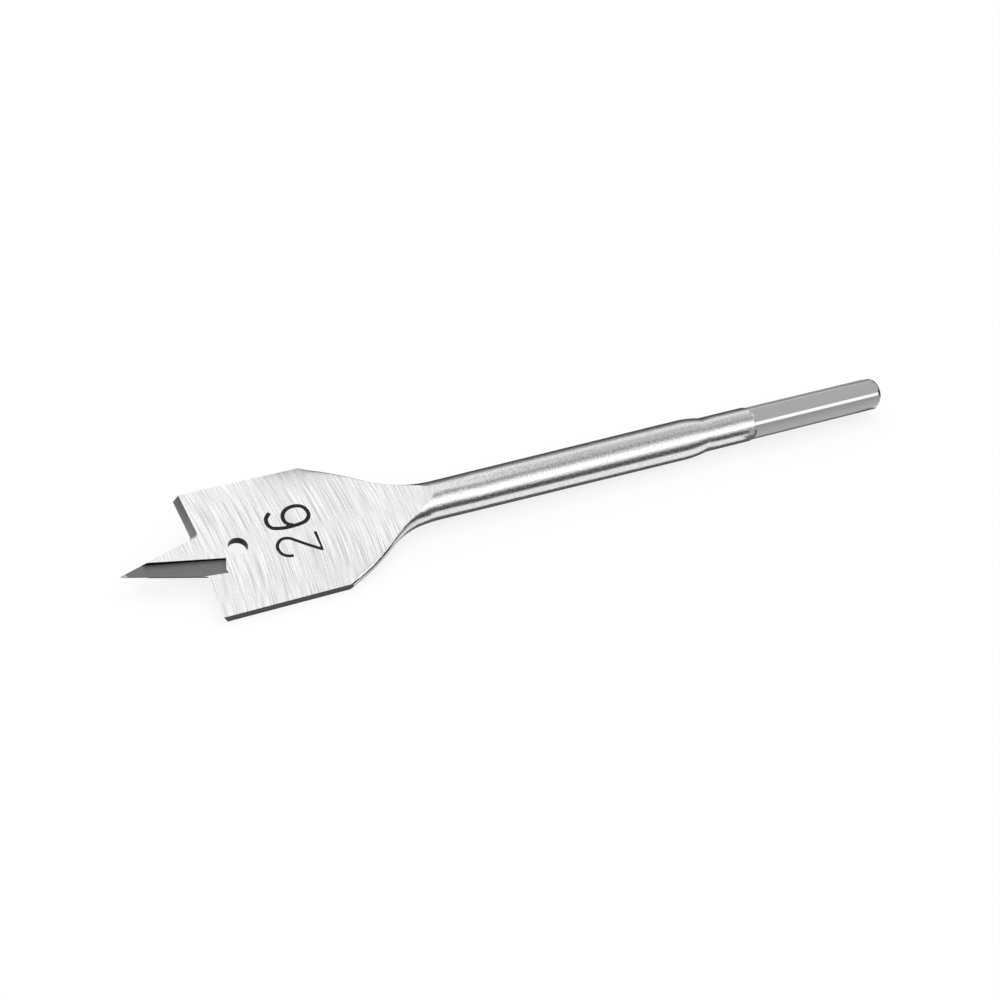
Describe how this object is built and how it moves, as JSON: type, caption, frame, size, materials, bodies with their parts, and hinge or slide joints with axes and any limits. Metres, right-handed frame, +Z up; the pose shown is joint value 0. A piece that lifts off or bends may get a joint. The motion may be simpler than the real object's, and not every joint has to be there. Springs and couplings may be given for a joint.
{
  "type": "spade drill bit",
  "caption": "Flat spade bit for boring wood: grooved pointed spur, cutting lips with ground relief, hole through the blade, flared neck, tapered round shaft and hexagonal shank.",
  "frame": {"origin": "on the floor, below the middle of the box around the bit as it lies at rest", "axes": "+X along the drilling axis from the point of the spur to the end of the shank, +Z up"},
  "size_m": [0.16, 0.0256, 0.0079],
  "materials": {
    "steel": "ground blade, satin shaft and shank"
  },
  "bodies": {
    "root": {"spade_bit": "steel"}
  },
  "joints": []
}
